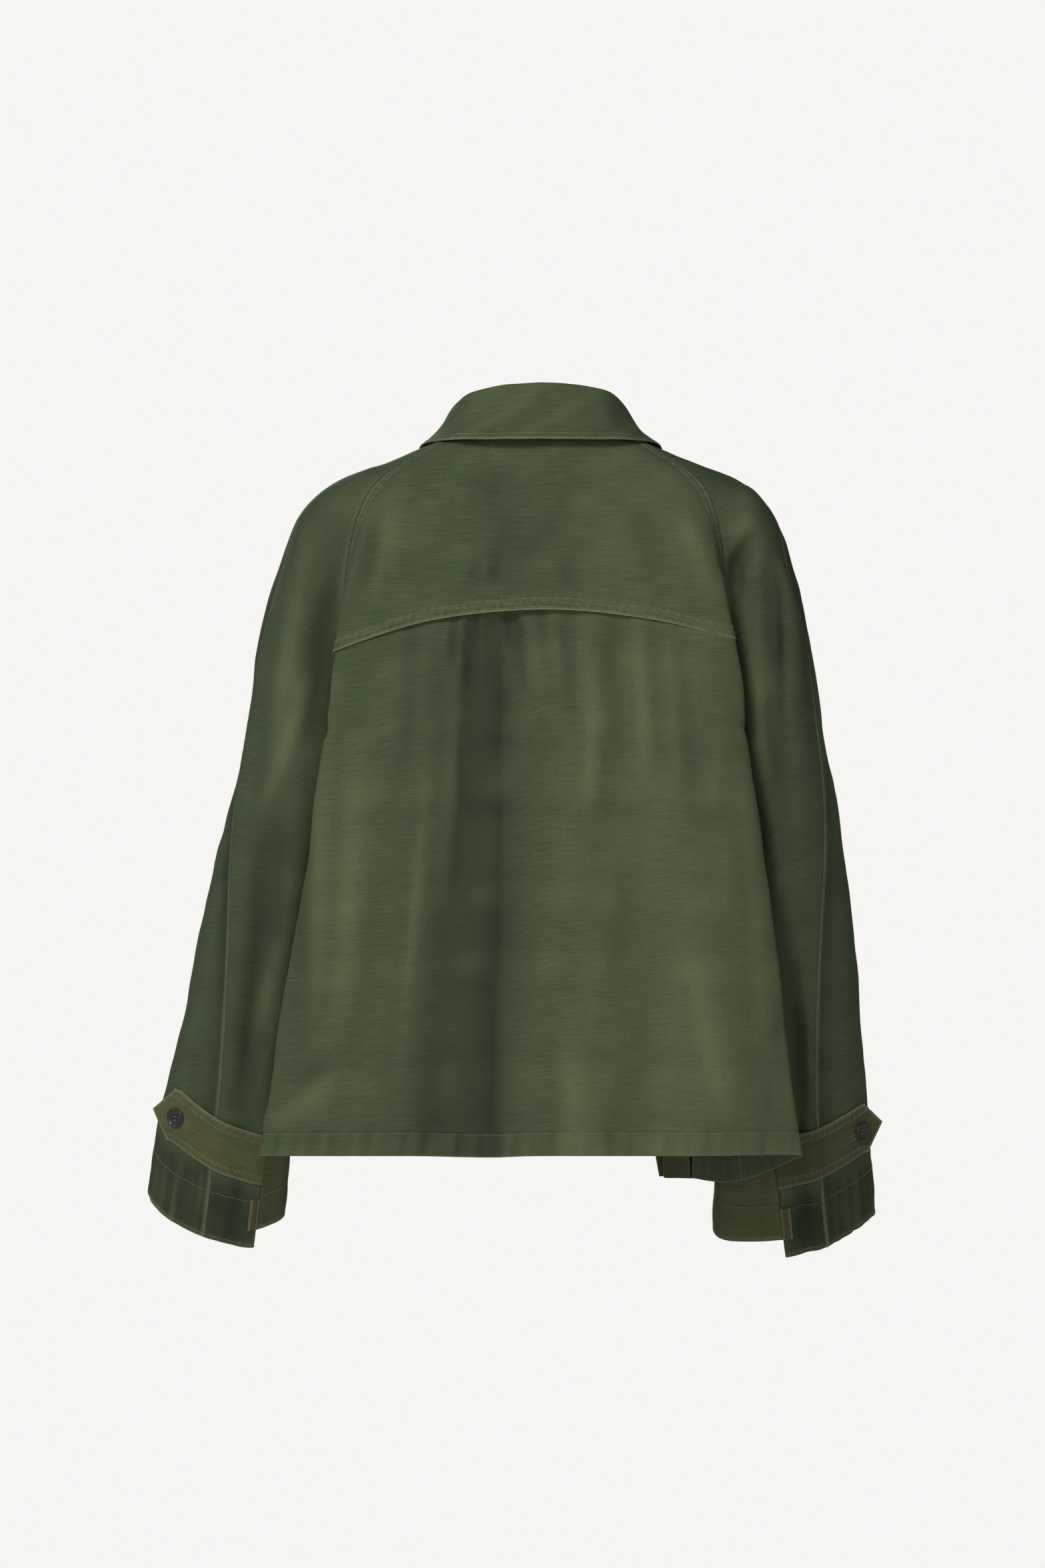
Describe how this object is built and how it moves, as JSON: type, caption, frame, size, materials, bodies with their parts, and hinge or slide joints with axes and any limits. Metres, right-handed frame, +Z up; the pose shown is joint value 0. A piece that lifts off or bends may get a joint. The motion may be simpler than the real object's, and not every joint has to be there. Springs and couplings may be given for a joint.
{
  "type": "open raglan field jacket",
  "caption": "Short flared field jacket in olive-green cotton, hollow as when worn and open at the front, with raglan sleeves, turned-down collar, curved back yoke and buttoned cuff straps.",
  "frame": {"origin": "middle of the wearer's neck base, level with the shoulders, where the neck and shoulders carry the jacket", "axes": "+Z up along the body, +X to the wearer's left, +Y to the wearer's back, so that the front opens towards -Y"},
  "size_m": [0.6771, 0.2946, 0.7894],
  "materials": {
    "shell": "dark olive-green cotton sateen, matt, slightly worn at the edges",
    "trim": "olive-brown cotton twill, matt",
    "button": "dark brown, softly polished"
  },
  "bodies": {
    "root": {"back_yoke": "shell", "back_panel": "shell", "collar_stand": "shell", "collar_fall": "shell", "front_left": "shell", "front_right": "shell", "sleeve_back_left": "shell", "sleeve_back_right": "shell", "sleeve_front_left": "shell", "sleeve_front_right": "shell", "facing_left": "trim", "facing_right": "trim", "sleeve_under_left": "trim", "sleeve_under_right": "trim", "cuff_strap_left": "trim", "cuff_strap_right": "trim", "vent_strip_left": "trim", "vent_strip_right": "trim", "cuff_button_left": "button", "cuff_button_right": "button", "front_button_1": "button", "front_button_2": "button", "front_button_3": "button", "front_button_4": "button", "front_button_5": "button"}
  },
  "joints": []
}
